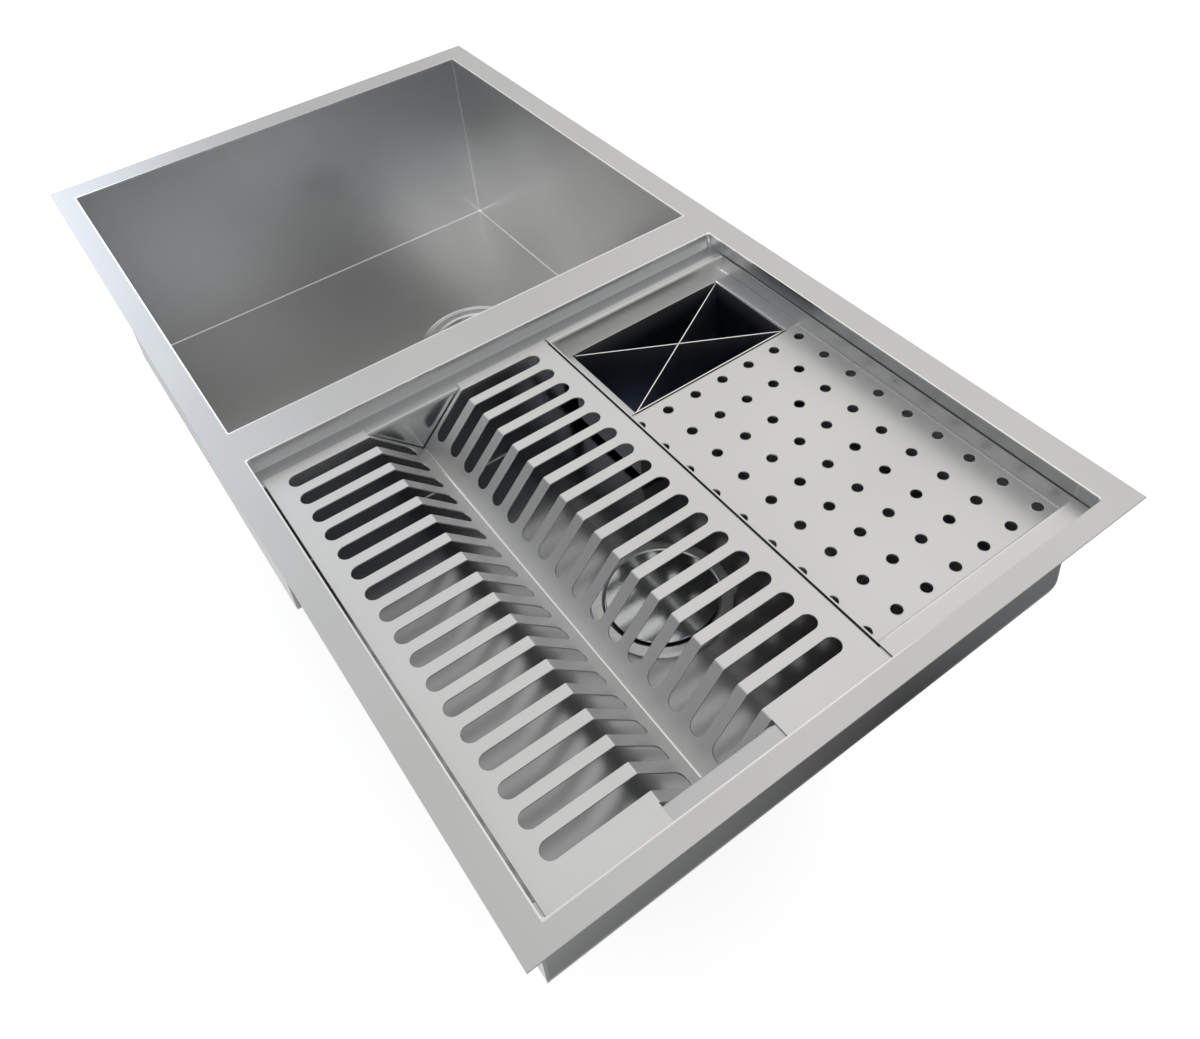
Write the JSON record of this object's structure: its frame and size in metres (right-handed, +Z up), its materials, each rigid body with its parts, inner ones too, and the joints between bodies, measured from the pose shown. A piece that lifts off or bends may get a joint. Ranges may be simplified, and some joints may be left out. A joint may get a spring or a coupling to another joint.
{
  "type": "double bowl sink",
  "caption": "Double-bowl workstation sink with a plate rack, drain tray and cutlery box on ledges over the shallow bowl, and a deep plain bowl beside it.",
  "frame": {"origin": "on the rim's top face, in the middle of the divider strip between the two bowls", "axes": "+Z up, out of the bowls; +X from the plain deep bowl to the stepped bowl; +Y from the front to the rear"},
  "size_m": [0.9649, 0.5, 0.3896],
  "materials": {
    "sheet": "satin brushed stainless sheet",
    "accessory_sheet": "fine brushed stainless sheet",
    "box_sheet": "brushed outside and on the flanges",
    "divider_sheet": "brushed",
    "strainer_steel": "finely polished",
    "polished_steel": "polished",
    "basket_steel": "polished stainless",
    "post_chrome": "chromed",
    "tube_chrome": "chromed tube",
    "coupling_chrome": "chromed nut",
    "nut_metal": "grey die-cast",
    "fibre": "fibre",
    "washer_plastic": "white plastic",
    "seal_rubber": "black rubber",
    "sound_rubber": "dark rubber sheet"
  },
  "bodies": {
    "sink": {"rim_deck": "sheet", "plain_bowl": "sheet", "work_bowl": "sheet", "plain_sound_pad": "sound_rubber", "work_sound_pad": "sound_rubber", "plain_strainer": "strainer_steel", "plain_seal_washer": "seal_rubber", "plain_friction_ring": "fibre", "plain_locknut": "nut_metal", "plain_tail_washer": "washer_plastic", "plain_tailpiece": "tube_chrome", "plain_coupling_nut": "coupling_chrome", "work_strainer": "strainer_steel", "work_seal_washer": "seal_rubber", "work_friction_ring": "fibre", "work_locknut": "nut_metal", "work_tail_washer": "washer_plastic", "work_tailpiece": "tube_chrome", "work_coupling_nut": "coupling_chrome"},
    "rack": {"plate_rack": "accessory_sheet"},
    "tray": {"drain_tray": "accessory_sheet"},
    "box": {"cutlery_box": "box_sheet"},
    "dividers": {"divider_plate_lower": "divider_sheet", "divider_plate_upper": "divider_sheet"},
    "plain_basket_set": {"plain_basket": "basket_steel", "plain_basket_post": "post_chrome", "plain_basket_stopper": "seal_rubber"},
    "work_basket_set": {"work_basket": "basket_steel", "work_basket_post": "post_chrome", "work_basket_stopper": "seal_rubber"},
    "cover": {"work_cover_disc": "polished_steel"}
  },
  "joints": [
    {"name": "rack_lift", "type": "slide", "parent": "sink", "child": "rack", "axis": [0, 0, 1], "range_m": [0, 0.1]},
    {"name": "tray_lift", "type": "slide", "parent": "sink", "child": "tray", "axis": [0, 0, 1], "range_m": [0, 0.12]},
    {"name": "box_lift", "type": "slide", "parent": "tray", "child": "box", "axis": [0, 0, 1], "range_m": [0, 0.09]},
    {"name": "divider_lift", "type": "slide", "parent": "box", "child": "dividers", "axis": [0, 0, 1], "range_m": [0, 0.085]},
    {"name": "plain_basket_lift", "type": "slide", "parent": "sink", "child": "plain_basket_set", "axis": [0, 0, 1], "range_m": [0, 0.28]},
    {"name": "work_basket_lift", "type": "slide", "parent": "sink", "child": "work_basket_set", "axis": [0, 0, 1], "range_m": [0, 0.05]},
    {"name": "cover_lift", "type": "slide", "parent": "work_basket_set", "child": "cover", "axis": [0, 0, 1], "range_m": [0, 0.025]}
  ]
}
